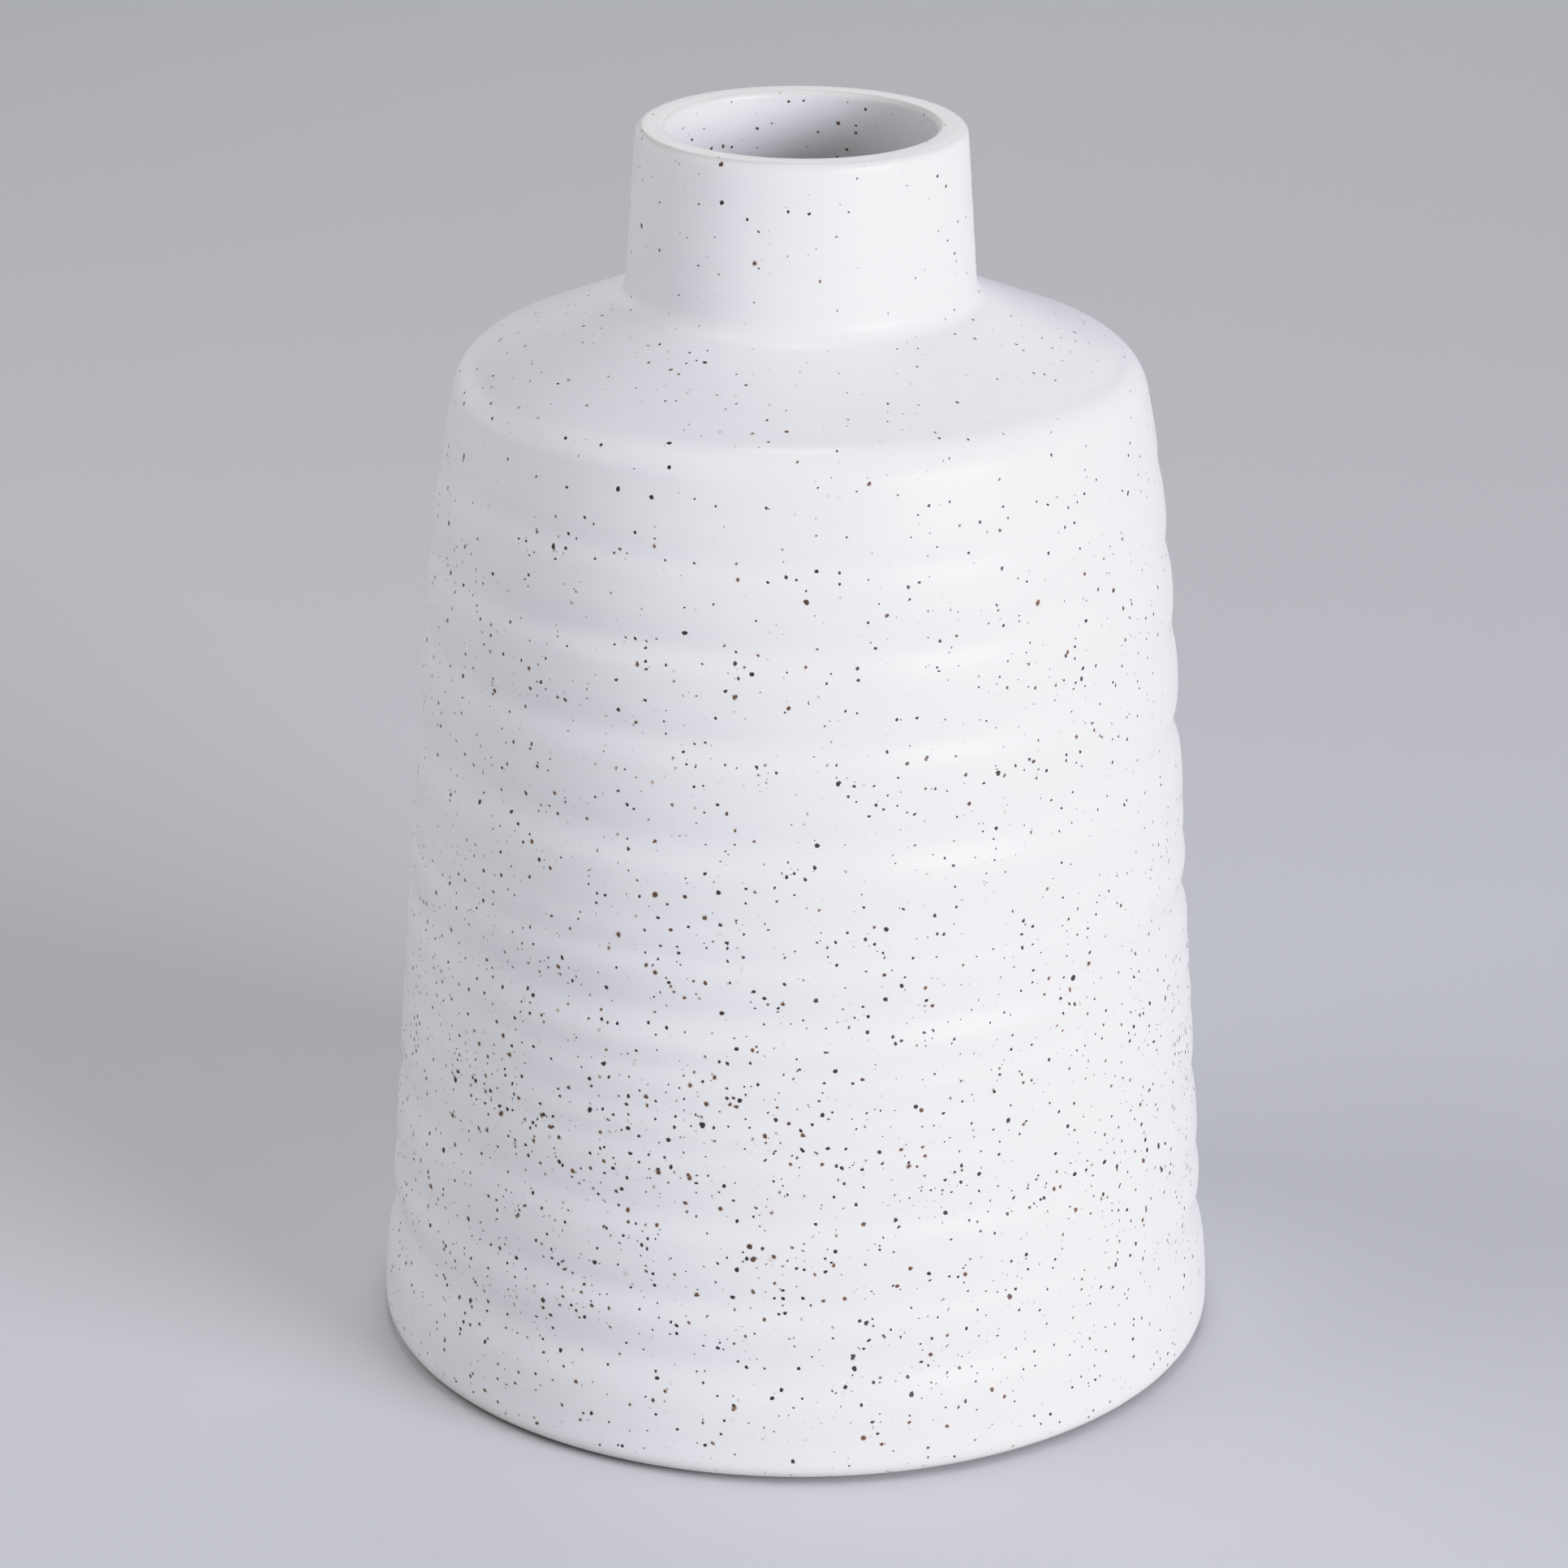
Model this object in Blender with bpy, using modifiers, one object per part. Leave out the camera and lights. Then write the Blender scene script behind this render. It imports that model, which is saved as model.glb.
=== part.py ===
"""Stoneware vase with a short collar neck, a shallow domed shoulder and a tall ringed wall.

The vase is built the way it is made: four clay sections, each turned on its own and joined to the
next with slip, standing on four felt pads. Every lower section carries the next one on a flat
landing, and a short skirt on one of the two keeps them centred.

Units are metres, +Z is up, and the origin is on the table under the vase's axis.
"""

import math

import bpy

# Overall sizes.
VASE_HEIGHT = 0.305
FOOT_RADIUS = 0.1051
WALL_THICKNESS = 0.0065
SLIP_GAP = 0.0003
SEGMENTS = 72

# Foot and floor. The foot ring is held just off the table by the pads.
FOOT_CLEARANCE = 0.001
FOOT_EDGE_ROUND = 0.003
FOOT_RING_INNER = 0.092
RECESS_DEPTH = 0.0025
FLOOR_THICKNESS = 0.008
FLOOR_SEAM_Z = 0.009

# Wall: a cone that swells a little and turns in near its top, cut by throwing rings.
WALL_HEIGHT = 0.232
TAPER = 0.0213
SWELL = 0.0070
TURN_IN = 0.0060
# Each throwing groove is its height above the foot, its depth and its half width.
GROOVES = (
    (0.028, 0.0014, 0.0070),
    (0.044, 0.0006, 0.0055),
    (0.065, 0.0008, 0.0055),
    (0.081, 0.0002, 0.0030),
    (0.091, 0.0003, 0.0030),
    (0.101, 0.0003, 0.0030),
    (0.1145, 0.0010, 0.0046),
    (0.129, 0.0004, 0.0040),
    (0.137, 0.0002, 0.0030),
    (0.1445, 0.0003, 0.0040),
    (0.157, 0.0012, 0.0060),
    (0.1815, 0.0008, 0.0058),
    (0.2025, 0.0006, 0.0046),
    (0.222, 0.0003, 0.0060),
)

# Shoulder: a rounded ridge, then a shallow dome that climbs to the neck.
RIDGE_SEAM_Z = 0.2415
RIDGE_LEAN = math.radians(13)
RIDGE_ROUND = 0.012
DOME_SLOPE = math.radians(22.5)
SHOULDER_THICKNESS = 0.006

# Neck: a collar that narrows upwards and ends in a soft, nearly flat lip.
NECK_ROOT_RADIUS = 0.0420
NECK_TOP_RADIUS = 0.0392
NECK_ROOT_ROUND = 0.006
MOUTH_RADIUS = 0.0320
NECK_BORE_ROOT = 0.0350
LIP_OUTER_ROUND = 0.0022
LIP_INNER_ROUND = 0.0015

# Skirts that centre one section in the next.
SKIRT_DEPTH = 0.004
SKIRT_THICKNESS = 0.003

# Felt pads.
PAD_RADIUS = 0.008
PAD_CIRCLE_RADIUS = 0.080
PAD_COUNT = 4
PAD_SEGMENTS = 24

# Colours and finish of the materials.
GLAZE_COLOUR = (0.80, 0.80, 0.79, 1.0)
GLAZE_ROUGHNESS = 0.42
FELT_COLOUR = (0.055, 0.050, 0.048, 1.0)
FELT_ROUGHNESS = 0.95


def clear_scene():
    for obj in list(bpy.data.objects):
        bpy.data.objects.remove(obj, do_unlink=True)


def make_material(name, colour, roughness):
    material = bpy.data.materials.new(name)
    material.use_nodes = True
    shader = material.node_tree.nodes["Principled BSDF"]
    shader.inputs["Base Color"].default_value = colour
    shader.inputs["Roughness"].default_value = roughness
    shader.inputs["Metallic"].default_value = 0.0
    return material


def arc(centre, radius, start, end, steps):
    """Points of an arc in the (radius, height) plane, angles in radians from the outward direction."""
    points = []
    for step in range(steps + 1):
        angle = start + (end - start) * step / steps
        points.append((centre[0] + radius * math.cos(angle), centre[1] + radius * math.sin(angle)))
    return points


def turned(name, outline, material, collection, on_axis=False):
    """A solid turned from an outline that runs down its outer side; on_axis leaves it open at the axis."""
    edges = [(i, i + 1) for i in range(len(outline) - 1)]
    if not on_axis:
        edges.append((len(outline) - 1, 0))
    mesh = bpy.data.meshes.new(name)
    mesh.from_pydata([(r, 0.0, z) for r, z in outline], edges, [])
    mesh.materials.append(material)
    obj = bpy.data.objects.new(name, mesh)
    collection.objects.link(obj)
    screw = obj.modifiers.new("Turn", "SCREW")
    screw.axis = "Z"
    screw.steps = SEGMENTS
    screw.render_steps = SEGMENTS
    screw.use_merge_vertices = True
    screw.merge_threshold = 0.00001
    screw.use_smooth_shade = True
    return obj


def wall_cone(z):
    """Outer radius of the wall at height z, without its throwing rings."""
    t = (z - FOOT_CLEARANCE) / WALL_HEIGHT
    return FOOT_RADIUS - TAPER * t + SWELL * t**2 - TURN_IN * t**6


def wall_outer(z):
    """Outer radius of the wall at height z, with its throwing rings."""
    relief = 0.0
    for height, depth, half_width in GROOVES:
        offset = (z - FOOT_CLEARANCE - height) / half_width
        relief += depth * math.exp(-offset * offset)
    return wall_cone(z) - relief


def wall_inner(z):
    return wall_cone(z) - WALL_THICKNESS


def ridge_centre():
    """Centre of the ridge's round, which starts at the wall seam."""
    return (
        wall_outer(RIDGE_SEAM_Z) - RIDGE_ROUND * math.cos(RIDGE_LEAN),
        RIDGE_SEAM_Z - RIDGE_ROUND * math.sin(RIDGE_LEAN),
    )


def dome_height(radius):
    """Height of the dome's outer surface where its radius is given."""
    centre = ridge_centre()
    top_r = centre[0] + RIDGE_ROUND * math.sin(DOME_SLOPE)
    top_z = centre[1] + RIDGE_ROUND * math.cos(DOME_SLOPE)
    return top_z + (top_r - radius) * math.tan(DOME_SLOPE)


def neck_root_round():
    """Centre of the hollow round between neck and dome, and the radius at which it meets the dome."""
    lean = neck_lean()
    centre_r = NECK_ROOT_RADIUS + NECK_ROOT_ROUND * math.cos(lean)
    foot_r = centre_r - NECK_ROOT_ROUND * math.sin(DOME_SLOPE)
    centre_z = dome_height(foot_r) + NECK_ROOT_ROUND * math.cos(DOME_SLOPE)
    return (centre_r, centre_z), foot_r


def neck_lean():
    return math.atan2(NECK_ROOT_RADIUS - NECK_TOP_RADIUS, VASE_HEIGHT - dome_height(NECK_ROOT_RADIUS))


def neck_skirt_radius():
    """Outer radius of the neck's skirt, which drops into the opening in the shoulder."""
    return NECK_BORE_ROOT + SKIRT_THICKNESS


def build_floor(material, collection):
    skirt_r = wall_inner(FLOOR_SEAM_Z) - SLIP_GAP
    outer_r = wall_outer(FLOOR_SEAM_Z)
    recess_z = FOOT_CLEARANCE + RECESS_DEPTH
    floor_z = recess_z + FLOOR_THICKNESS
    round_r = FOOT_EDGE_ROUND
    foot_edge = arc((outer_r - round_r, FOOT_CLEARANCE + round_r), round_r, 0.0, -math.pi / 2, 4)
    outline = [
        (0.0, floor_z),
        (skirt_r, floor_z),
        (skirt_r, FLOOR_SEAM_Z),
        (outer_r, FLOOR_SEAM_Z),
        *foot_edge,
        (FOOT_RING_INNER, FOOT_CLEARANCE),
        (FOOT_RING_INNER, recess_z),
        (0.0, recess_z),
    ]
    return turned("floor_disc", outline, material, collection, on_axis=True)


def build_wall(material, collection):
    bottom_z = FLOOR_SEAM_Z + SLIP_GAP
    marks = [bottom_z, *(FOOT_CLEARANCE + groove[0] for groove in GROOVES), RIDGE_SEAM_Z]
    crests = [(low + high) / 2 for low, high in zip(marks, marks[1:])]
    outer = [(wall_outer(z), z) for z in sorted(marks + crests, reverse=True)]
    inner_steps = 4
    inner = []
    for step in range(inner_steps + 1):
        z = bottom_z + (RIDGE_SEAM_Z - bottom_z) * step / inner_steps
        inner.append((wall_inner(z), z))
    return turned("body_wall", outer + inner, material, collection)


def build_shoulder(material, collection):
    centre = ridge_centre()
    seam_z = RIDGE_SEAM_Z + SLIP_GAP
    opening_r = neck_skirt_radius() + SLIP_GAP
    _centre, landing_r = neck_root_round()
    landing_z = dome_height(landing_r)
    outer_arc = arc(centre, RIDGE_ROUND, math.pi / 2 - DOME_SLOPE, RIDGE_LEAN, 6)
    outer_arc[-1] = (outer_arc[-1][0], seam_z)
    inner_arc = arc(centre, RIDGE_ROUND - SHOULDER_THICKNESS, RIDGE_LEAN, math.pi / 2 - DOME_SLOPE, 4)
    skirt_r = wall_inner(RIDGE_SEAM_Z) - SLIP_GAP
    skirt_z = RIDGE_SEAM_Z - SKIRT_DEPTH
    underside_z = landing_z - SHOULDER_THICKNESS / math.cos(DOME_SLOPE)
    opening_z = underside_z + (landing_r - opening_r) * math.tan(DOME_SLOPE)
    outline = [
        (opening_r, landing_z),
        (landing_r, landing_z),
        *outer_arc,
        (skirt_r, seam_z),
        (skirt_r, skirt_z),
        (skirt_r - SKIRT_THICKNESS, skirt_z),
        *inner_arc,
        (opening_r, opening_z),
    ]
    return turned("shoulder", outline, material, collection)


def build_neck(material, collection):
    (round_r, round_z), landing_r = neck_root_round()
    landing_z = dome_height(landing_r) + SLIP_GAP
    lean = neck_lean()
    skirt_r = neck_skirt_radius()
    skirt_z = landing_z - SKIRT_DEPTH
    root_arc = arc((round_r, round_z), NECK_ROOT_ROUND, math.pi + lean, 1.5 * math.pi - DOME_SLOPE, 5)
    root_arc[-1] = (landing_r, landing_z)
    lip_outer = arc(
        (NECK_TOP_RADIUS - LIP_OUTER_ROUND, VASE_HEIGHT - LIP_OUTER_ROUND),
        LIP_OUTER_ROUND, math.pi / 2, lean, 4,
    )
    lip_inner = arc(
        (MOUTH_RADIUS + LIP_INNER_ROUND, VASE_HEIGHT - LIP_INNER_ROUND),
        LIP_INNER_ROUND, math.pi, math.pi / 2, 3,
    )
    outline = [
        *lip_outer,
        *root_arc,
        (skirt_r, landing_z),
        (skirt_r, skirt_z),
        (NECK_BORE_ROOT, skirt_z),
        *lip_inner,
    ]
    return turned("neck_collar", outline, material, collection)


def build_pads(material, collection):
    height = FOOT_CLEARANCE + RECESS_DEPTH - SLIP_GAP
    pads = []
    for number in range(PAD_COUNT):
        angle = math.radians(45 + 360 / PAD_COUNT * number)
        place = (
            PAD_CIRCLE_RADIUS * math.cos(angle),
            PAD_CIRCLE_RADIUS * math.sin(angle),
            height / 2,
        )
        bpy.ops.mesh.primitive_cylinder_add(
            vertices=PAD_SEGMENTS, radius=PAD_RADIUS, depth=height, location=place
        )
        pad = bpy.context.active_object
        pad.name = f"felt_pad_{number + 1}"
        pad.data.name = pad.name
        pad.data.shade_smooth()
        pad.data.set_sharp_from_angle(angle=math.radians(40))
        pad.data.materials.append(material)
        for holder in list(pad.users_collection):
            holder.objects.unlink(pad)
        collection.objects.link(pad)
        pads.append(pad)
    return pads


def main():
    clear_scene()
    collection = bpy.data.collections.new("stoneware_vase")
    bpy.context.scene.collection.children.link(collection)
    base = bpy.data.objects.new("vase_origin", None)
    collection.objects.link(base)
    pieces = [
        build_floor(make_material("glaze_floor", GLAZE_COLOUR, GLAZE_ROUGHNESS), collection),
        build_wall(make_material("glaze_wall", GLAZE_COLOUR, GLAZE_ROUGHNESS), collection),
        build_shoulder(make_material("glaze_shoulder", GLAZE_COLOUR, GLAZE_ROUGHNESS), collection),
        build_neck(make_material("glaze_neck", GLAZE_COLOUR, GLAZE_ROUGHNESS), collection),
        *build_pads(make_material("felt", FELT_COLOUR, FELT_ROUGHNESS), collection),
    ]
    for piece in pieces:
        piece.parent = base


main()
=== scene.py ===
"""Looks for the stoneware vase: thrown clay sections under a speckled satin glaze, on felt pads.

The clay is one surface that runs from the middle of the underside, up the outside, over the lip and
down the inside to the middle of the floor. It is sampled as rings, shaped by the marks of throwing,
and cut into closed pieces that meet face to face, with the same points and normals on both sides of
each cut. Lengths are metres unless a name says millimetres.
"""

import math

import bpy
import numpy as np
from mathutils import Matrix, Vector


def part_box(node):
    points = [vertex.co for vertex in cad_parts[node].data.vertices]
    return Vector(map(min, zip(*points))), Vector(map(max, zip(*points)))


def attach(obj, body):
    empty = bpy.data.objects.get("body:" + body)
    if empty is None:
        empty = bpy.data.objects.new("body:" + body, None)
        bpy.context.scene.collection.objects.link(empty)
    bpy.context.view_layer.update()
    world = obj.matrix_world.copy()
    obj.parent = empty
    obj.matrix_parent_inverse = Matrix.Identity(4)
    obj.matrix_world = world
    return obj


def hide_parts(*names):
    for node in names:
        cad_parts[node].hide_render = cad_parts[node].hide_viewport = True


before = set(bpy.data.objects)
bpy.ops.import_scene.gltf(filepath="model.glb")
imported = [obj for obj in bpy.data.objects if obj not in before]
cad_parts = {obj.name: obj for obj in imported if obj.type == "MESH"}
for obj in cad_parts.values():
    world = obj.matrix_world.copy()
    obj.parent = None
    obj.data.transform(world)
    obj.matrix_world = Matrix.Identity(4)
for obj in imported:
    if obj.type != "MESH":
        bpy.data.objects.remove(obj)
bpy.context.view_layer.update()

MM = 0.001

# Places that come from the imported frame.
FOOT_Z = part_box("floor_disc")[0].z
FLOOR_TOP_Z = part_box("floor_disc")[1].z
LIP_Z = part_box("neck_collar")[1].z
WALL_BOTTOM_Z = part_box("body_wall")[0].z
WALL_TOP_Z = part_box("body_wall")[1].z

# The wall's line, as the CAD has it: a cone that swells a little and turns in near its top.
CONE_FOOT_RADIUS = 0.1051
WALL_HEIGHT = 0.232
TAPER = 0.0213
SWELL = 0.0070
TURN_IN = 0.0060
WALL_THICKNESS = 0.0065
FOOT_EASE = 0.002

# Throwing grooves of the wall, read from the CAD's wall. They are cut deeper here than there, so
# that they shade more as the real ones do, and a deeper groove is wider.
LEVEL_STEP = 0.1 * MM
GROOVE_DEPTH_GAIN = 1.4
GROOVE_HALF_WIDTH = 2.6 * MM
GROOVE_WIDENING = 2.4
GROOVE_DEPTH_SWING = 0.22
GROOVE_WANDER = 0.5 * MM

# Fine finger lines between the grooves.
FINE_LINES = 46
FINE_LINE_DEPTH_MM = (0.02, 0.07)
FINE_LINE_HALF_WIDTH_MM = (1.0, 2.4)
FINE_LINE_SPAN = (0.010, 0.236)
FINE_LINE_WANDER = 1.2 * MM
OUT_OF_ROUND = 0.12 * MM

# Shoulder and neck.
RIDGE_LEAN = math.radians(13)
RIDGE_ROUND = 0.012
DOME_SLOPE = math.radians(22.5)
SHOULDER_THICKNESS = 0.006
NECK_ROOT_RADIUS = 0.0420
NECK_TOP_RADIUS = 0.0392
NECK_ROOT_ROUND = 0.006
MOUTH_RADIUS = 0.0320
NECK_BORE_ROOT = 0.0350
LIP_OUTER_ROUND = 0.0022
LIP_INNER_ROUND = 0.0015
LIP_WAVE = 0.10 * MM
BORE_ROUND = 0.004
INNER_RIDGE_ROUND = 0.009

# Foot and floor.
FOOT_EDGE_ROUND = 0.003
FOOT_RING_INNER = 0.092
RECESS_DEPTH = 0.0025
RECESS_ROUND = 0.0012
FLOOR_CORNER_ROUND = 0.006
TRIM_LINE_DEPTH = 0.05 * MM
TRIM_LINE_PITCH = 0.0031
INNER_RING_PITCH = 0.0105
INNER_RING_DEPTH = 0.35 * MM

# The glaze stops this far in from the foot's edge, in millimetres. A ring that is glazed all over
# counts as this far past that line.
GLAZE_LINE_MM = 4.2
FULLY_GLAZED_MM = -5.0
INNER_THIN_GLAZE = 0.1

# Where the wall's bands meet, in the bottoms of two grooves, as heights above the foot.
BAND_CUTS = (0.081, 0.157)

# How finely the surface is sampled.
SEGMENTS = 288
OUTER_STEP = 0.0010
INNER_STEP = 0.0026
UNDERSIDE_STEP = 0.0022
MAX_TURN = math.radians(9)
DENSE_STEP = 0.0001

# Glaze.
GLAZE_WHITE = (0.820, 0.820, 0.830, 1.0)
GLAZE_COOL = (0.788, 0.791, 0.816, 1.0)
GLAZE_WARM = (0.818, 0.812, 0.806, 1.0)
# Painted shade: the greyer, bluer white that is painted where the glaze faces up.
GLAZE_UPWARD_PAINTED_SHADE = (0.748, 0.750, 0.778, 1.0)
GLAZE_THIN = (0.64, 0.635, 0.585, 1.0)
CLAY_BUFF = (0.42, 0.33, 0.235, 1.0)
CLAY_DARK = (0.27, 0.20, 0.135, 1.0)
SPECK_BLACK = (0.030, 0.020, 0.016, 1.0)
SPECK_BROWN = (0.120, 0.062, 0.030, 1.0)
RUST_HALO = (0.46, 0.31, 0.17, 1.0)
GLAZE_IOR = 1.5

# Speck layers: name, cell size, smallest and largest radius, soft edge (all in millimetres), share of
# the cells that hold one at full density, how strongly it covers, and the offset that sets it apart.
SPECK_LAYERS = (
    ("large", 3.8, 0.46, 0.74, 0.08, 0.50, 1.00, 11.0),
    ("medium", 2.3, 0.31, 0.55, 0.07, 0.76, 1.00, 47.0),
    ("small", 1.8, 0.16, 0.31, 0.06, 0.60, 0.92, 83.0),
    ("sunken", 3.2, 0.20, 0.42, 0.18, 0.35, 0.22, 129.0),
)
# How specks are bent out of round: size of the noise, its detail, and its reach in millimetres.
SPECK_BENDS = ((0.55, 1.0, 0.42), (1.7, 0.0, 0.60))
# Speck density against height above the table: (height in metres, share of full density).
SPECK_DENSITY = (
    (0.000, 0.50),
    (0.025, 0.85),
    (0.060, 0.95),
    (0.090, 1.00),
    (0.125, 0.75),
    (0.165, 0.68),
    (0.200, 0.60),
    (0.225, 0.42),
    (0.245, 0.30),
    (0.305, 0.27),
)

# Felt.
FELT_DARK = (0.030, 0.027, 0.026, 1.0)
FELT_LIGHT = (0.095, 0.088, 0.082, 1.0)
FELT_SEGMENTS = 72
FELT_EDGE_ROUND = 0.0009
FELT_STEP = 0.0008
FELT_RAGGEDNESS = 0.18 * MM

# Camera: where it stands, its lens and its aim, which give the photograph's viewing angle.
CAMERA_PLACE = (0.0, -1.216, 0.6055)
CAMERA_LENS_MM = 121.3
CAMERA_PITCH = 0.3668
CAMERA_YAW = 0.0029
CAMERA_ROLL = -0.0043

# Light.
LIGHT_AIM = (0.0, 0.0, 0.15)
WORLD_COLOUR = (0.965, 0.985, 1.02, 1.0)
WORLD_STRENGTH = 0.06
# Each light: azimuth from the camera's side towards the right, elevation, distance from the aim,
# width and height, watts and colour.
LIGHTS = {
    "window_light": (49, 15, 3.2, (1.8, 1.1), 121, (0.885, 0.885, 1.0)),
    "top_light": (0, 90, 2.2, (0.35, 0.35), 8, (0.97, 0.97, 1.0)),
    "left_light": (-80, 47, 2.0, (1.4, 1.4), 16, (0.975, 0.975, 1.0)),
    "back_light": (175, 30, 2.4, (1.4, 1.0), 9, (0.96, 0.98, 1.0)),
}
# The left light stands for a whole pale room, which gives no streaks.
LIGHTS_WITHOUT_REFLECTION = ("left_light",)
# How scene light is shown: straight up to mid-grey, then rolled off towards white.
FILM_WHITE = 1.6
FILM_ROLL_OFF = (
    (0.25, 0.25),
    (0.50, 0.50),
    (0.70, 0.675),
    (0.90, 0.80),
    (1.10, 0.87),
    (1.35, 0.915),
    (1.6, 0.95),
)

# Stage: a round floor that curves up into a low wall and glows softly far from the vase.
FLOOR_COLOUR = (0.61, 0.615, 0.63, 1.0)
STAGE_RADIUS = 4.2
STAGE_ROUND = 1.2
STAGE_HEIGHT = 1.6
STAGE_STEP = 0.35
STAGE_SIDES = 96
GLOW_START = 2.2
GLOW_COLOUR = (0.97, 0.98, 1.0, 1.0)
BACKDROP_GLOW = 0.34


def wave(angles, seed, orders=4):
    """A smooth value from -1 to 1 that runs round the vase and closes on itself."""
    rng = np.random.default_rng(seed)
    total = np.zeros_like(angles)
    for order in range(1, orders + 1):
        total += rng.uniform(0.4, 1.0) / order * np.cos(order * angles + rng.uniform(0, 2 * math.pi))
    return total / np.abs(total).max()


def bump_at(distance, half_width):
    return np.exp(-((distance / half_width) ** 2))


def wall_cone(z):
    """Outer radius of the wall at height z, without its throwing marks."""
    eased = WALL_BOTTOM_Z + FOOT_EASE * np.log1p(np.exp((z - WALL_BOTTOM_Z) / FOOT_EASE))
    t = (eased - FOOT_Z) / WALL_HEIGHT
    return CONE_FOOT_RADIUS - TAPER * t + SWELL * t**2 - TURN_IN * t**6


def wall_grooves():
    """Height and depth of each throwing groove of the CAD's wall, which has a corner at its bottom.

    A groove on the side of a much deeper one makes no dip of its own, and isn't found.
    """
    points = np.array([vertex.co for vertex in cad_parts["body_wall"].data.vertices])
    levels = np.round(points[:, 2] / LEVEL_STEP)
    outside = []
    for level in np.unique(levels):
        ring = points[levels == level]
        z = ring[:, 2].mean()
        depth = wall_cone(z) - np.hypot(ring[:, 0], ring[:, 1]).max()
        if depth < WALL_THICKNESS / 2:
            outside.append((z, depth))
    return [
        here
        for before, here, after in zip(outside, outside[1:], outside[2:])
        if here[1] > before[1] and here[1] > after[1]
    ]


def arc(centre, radius, start, end):
    steps = max(2, int(abs(end - start) * radius / DENSE_STEP))
    angles = np.linspace(start, end, steps + 1)
    return np.stack([centre[0] + radius * np.cos(angles), centre[1] + radius * np.sin(angles)], axis=1)


def rounded(corners):
    """Points along straight runs between corners (radius, height, round), with each corner rounded."""
    points = [np.array(corners[0][:2])[None]]
    for before, corner, after in zip(corners, corners[1:], corners[2:]):
        here = np.array(corner[:2])
        back = np.array(before[:2]) - here
        ahead = np.array(after[:2]) - here
        back /= np.linalg.norm(back)
        ahead /= np.linalg.norm(ahead)
        half = math.acos(max(-1.0, min(1.0, float(back @ ahead)))) / 2
        if corner[2] <= 0 or half > math.radians(89.5):
            points.append(here[None])
            continue
        reach = corner[2] / math.tan(half)
        middle = here + (back + ahead) / np.linalg.norm(back + ahead) * corner[2] / math.sin(half)
        first = here + back * reach - middle
        last = here + ahead * reach - middle
        start = math.atan2(first[1], first[0])
        sweep = (math.atan2(last[1], last[0]) - start + math.pi) % (2 * math.pi) - math.pi
        points.append(arc(middle, corner[2], start, start + sweep))
    points.append(np.array(corners[-1][:2])[None])
    return dense(np.concatenate(points))


def dense(points):
    """The same line with a point every DENSE_STEP."""
    gaps = np.linalg.norm(np.diff(points, axis=0), axis=1)
    points = points[np.concatenate([[True], gaps > 1e-9])]
    along = np.concatenate([[0], np.cumsum(np.linalg.norm(np.diff(points, axis=0), axis=1))])
    at = np.linspace(0, along[-1], max(3, int(along[-1] / DENSE_STEP) + 1))
    return np.stack([np.interp(at, along, points[:, 0]), np.interp(at, along, points[:, 1])], axis=1)


def spaced(points, longest):
    """The line with points no further apart than longest, and closer where it bends."""
    line = dense(points)
    steps = np.diff(line, axis=0)
    length = np.linalg.norm(steps, axis=1)
    heading = np.unwrap(np.arctan2(steps[:, 1], steps[:, 0]))
    reach = 6
    kernel = np.ones(2 * reach + 1) / (2 * reach + 1)
    padded = np.pad(np.gradient(heading), reach, mode="edge")
    bend = np.abs(np.convolve(padded, kernel, mode="valid")) / length
    wanted = np.maximum(1 / longest, bend / MAX_TURN) * length
    along = np.concatenate([[0], np.cumsum(wanted)])
    at = np.linspace(0, along[-1], max(2, int(math.ceil(along[-1])) + 1))
    return np.stack([np.interp(at, along, line[:, 0]), np.interp(at, along, line[:, 1])], axis=1)


def cut_at_height(line, heights):
    """Cuts a line that climbs or falls steadily at the given heights, in the order they are met."""
    parts = []
    falling = line[-1][1] < line[0][1]
    for height in heights:
        passed = line[:, 1] < height if falling else line[:, 1] > height
        i = int(np.argmax(passed))
        share = (height - line[i - 1][1]) / (line[i][1] - line[i - 1][1])
        meet = line[i - 1] + share * (line[i] - line[i - 1])
        parts.append(np.concatenate([line[:i], meet[None]]))
        line = np.concatenate([meet[None], line[i:]])
    parts.append(line)
    return parts


def ridge_centre():
    radius = float(wall_cone(WALL_TOP_Z)) - RIDGE_ROUND * math.cos(RIDGE_LEAN)
    return radius, WALL_TOP_Z - RIDGE_ROUND * math.sin(RIDGE_LEAN)


def dome_height(radius):
    centre = ridge_centre()
    top_r = centre[0] + RIDGE_ROUND * math.sin(DOME_SLOPE)
    top_z = centre[1] + RIDGE_ROUND * math.cos(DOME_SLOPE)
    return top_z + (top_r - radius) * math.tan(DOME_SLOPE)


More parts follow.
